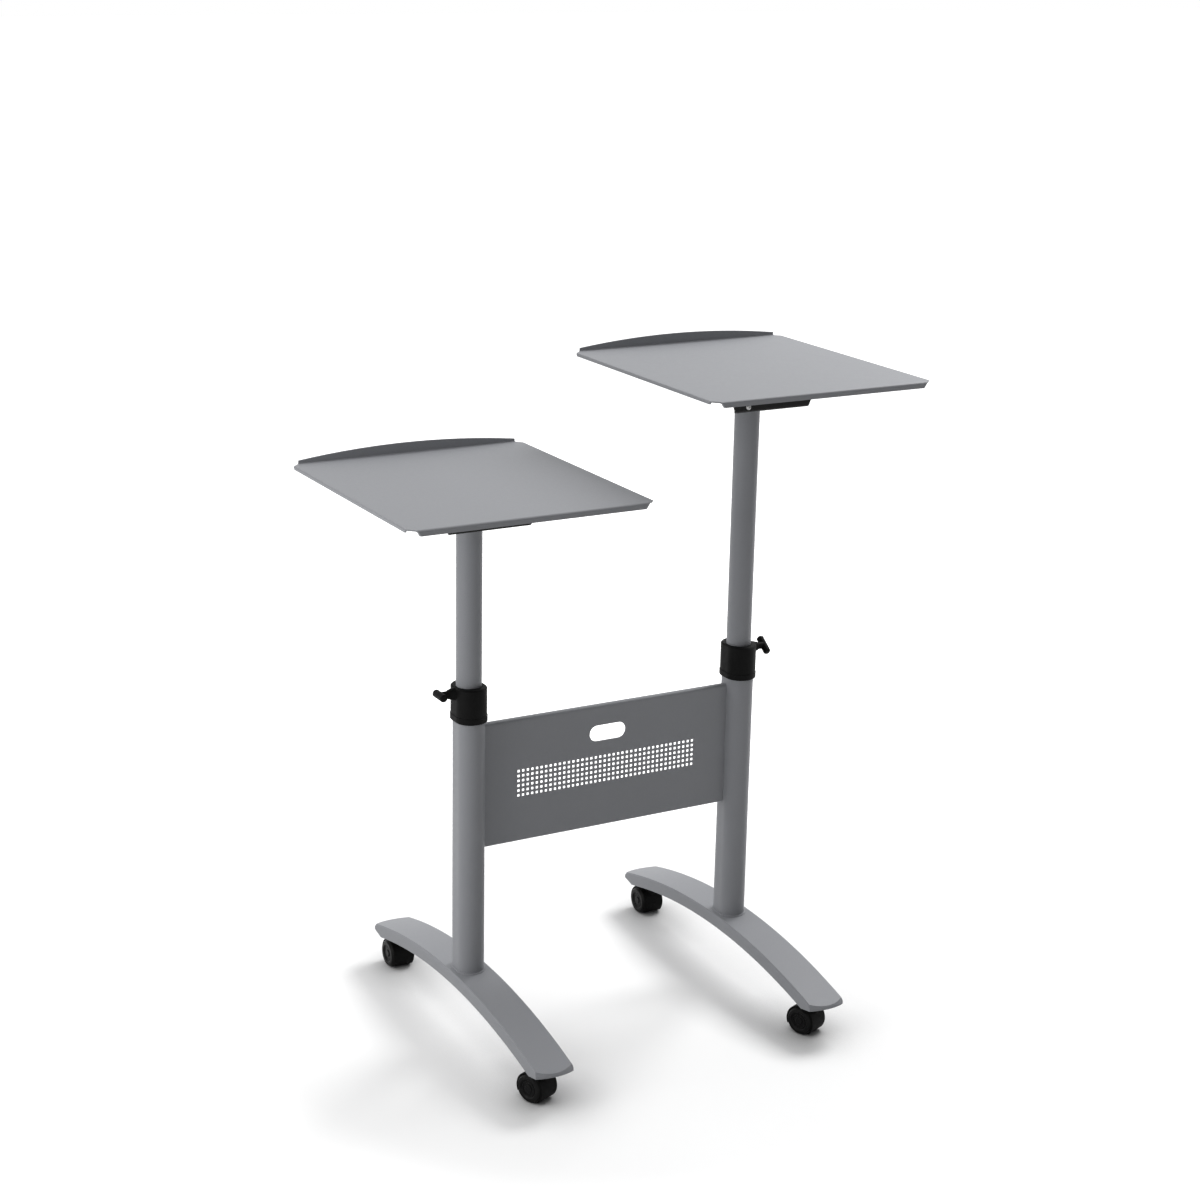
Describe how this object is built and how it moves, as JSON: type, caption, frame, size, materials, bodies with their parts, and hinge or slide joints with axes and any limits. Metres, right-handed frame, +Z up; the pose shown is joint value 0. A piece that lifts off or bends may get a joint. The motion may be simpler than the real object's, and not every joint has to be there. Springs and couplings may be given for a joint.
{
  "type": "portable projector stand",
  "caption": "Wheeled stand on arched feet with flat-oval columns, a perforated panel between them, and flat lipped trays on telescoping posts held by T-handle clamps.",
  "frame": {"origin": "on the floor, midway between the two columns", "axes": "+X from the left column to the right one, +Y towards the lipped tray edges, +Z up"},
  "size_m": [0.87, 0.6, 1.0394],
  "materials": {
    "grey_coat": "silver-grey powder coat",
    "black_coat": "satin black coat",
    "black_plastic": "fine moulded grain",
    "black_wheel": "smooth nylon",
    "zinc_steel": "zinc plated"
  },
  "bodies": {
    "base": {"crossbar_panel": "grey_coat", "left_foot": "grey_coat", "left_column": "grey_coat", "left_collar": "black_plastic", "left_near_caster_socket": "black_plastic", "left_far_caster_socket": "black_plastic", "right_foot": "grey_coat", "right_column": "grey_coat", "right_collar": "black_plastic", "right_near_caster_socket": "black_plastic", "right_far_caster_socket": "black_plastic"},
    "left_lift": {"left_post": "grey_coat", "left_tray_bracket": "black_coat", "left_tray": "grey_coat"},
    "left_clamp": {"left_clamp_screw": "black_plastic"},
    "left_near_caster_swivel": {"left_near_caster_hood": "black_plastic", "left_near_caster_stem": "zinc_steel"},
    "left_near_caster_wheels": {"left_near_caster_axle": "zinc_steel", "left_near_caster_inner_wheel": "black_wheel", "left_near_caster_outer_wheel": "black_wheel"},
    "left_far_caster_swivel": {"left_far_caster_hood": "black_plastic", "left_far_caster_stem": "zinc_steel"},
    "left_far_caster_wheels": {"left_far_caster_axle": "zinc_steel", "left_far_caster_inner_wheel": "black_wheel", "left_far_caster_outer_wheel": "black_wheel"},
    "right_lift": {"right_post": "grey_coat", "right_tray_bracket": "black_coat", "right_tray": "grey_coat"},
    "right_clamp": {"right_clamp_screw": "black_plastic"},
    "right_near_caster_swivel": {"right_near_caster_hood": "black_plastic", "right_near_caster_stem": "zinc_steel"},
    "right_near_caster_wheels": {"right_near_caster_axle": "zinc_steel", "right_near_caster_inner_wheel": "black_wheel", "right_near_caster_outer_wheel": "black_wheel"},
    "right_far_caster_swivel": {"right_far_caster_hood": "black_plastic", "right_far_caster_stem": "zinc_steel"},
    "right_far_caster_wheels": {"right_far_caster_axle": "zinc_steel", "right_far_caster_inner_wheel": "black_wheel", "right_far_caster_outer_wheel": "black_wheel"}
  },
  "joints": [
    {"name": "left_lift_slide", "type": "slide", "parent": "base", "child": "left_lift", "axis": [0, 0, 1], "range_m": [-0.194, 0.164]},
    {"name": "left_clamp_turn", "type": "hinge", "parent": "base", "child": "left_clamp", "pos_m": [-0.24, 0, 0.563], "axis": [-1, 0, 0], "range_deg": [0, 270]},
    {"name": "left_near_caster_turn", "type": "hinge", "parent": "base", "child": "left_near_caster_swivel", "pos_m": [-0.24, -0.2545, 0.05], "axis": [0, 0, 1], "continuous": true},
    {"name": "left_near_caster_roll", "type": "hinge", "parent": "left_near_caster_swivel", "child": "left_near_caster_wheels", "pos_m": [-0.24449, -0.24337, 0.022], "axis": [0.9272, 0.3746, 0], "continuous": true},
    {"name": "left_far_caster_turn", "type": "hinge", "parent": "base", "child": "left_far_caster_swivel", "pos_m": [-0.24, 0.2545, 0.05], "axis": [0, 0, 1], "continuous": true},
    {"name": "left_far_caster_roll", "type": "hinge", "parent": "left_far_caster_swivel", "child": "left_far_caster_wheels", "pos_m": [-0.24, 0.2665, 0.022], "axis": [1, 0, 0], "continuous": true},
    {"name": "right_lift_slide", "type": "slide", "parent": "base", "child": "right_lift", "axis": [0, 0, 1], "range_m": [-0.33, 0.028]},
    {"name": "right_clamp_turn", "type": "hinge", "parent": "base", "child": "right_clamp", "pos_m": [0.24, 0, 0.563], "axis": [1, 0, 0], "range_deg": [0, 270]},
    {"name": "right_near_caster_turn", "type": "hinge", "parent": "base", "child": "right_near_caster_swivel", "pos_m": [0.24, -0.2545, 0.05], "axis": [0, 0, 1], "continuous": true},
    {"name": "right_near_caster_roll", "type": "hinge", "parent": "right_near_caster_swivel", "child": "right_near_caster_wheels", "pos_m": [0.2355, -0.24337, 0.022], "axis": [0.9272, 0.3746, 0], "continuous": true},
    {"name": "right_far_caster_turn", "type": "hinge", "parent": "base", "child": "right_far_caster_swivel", "pos_m": [0.24, 0.2545, 0.05], "axis": [0, 0, 1], "continuous": true},
    {"name": "right_far_caster_roll", "type": "hinge", "parent": "right_far_caster_swivel", "child": "right_far_caster_wheels", "pos_m": [0.24, 0.2665, 0.022], "axis": [1, 0, 0], "continuous": true}
  ]
}
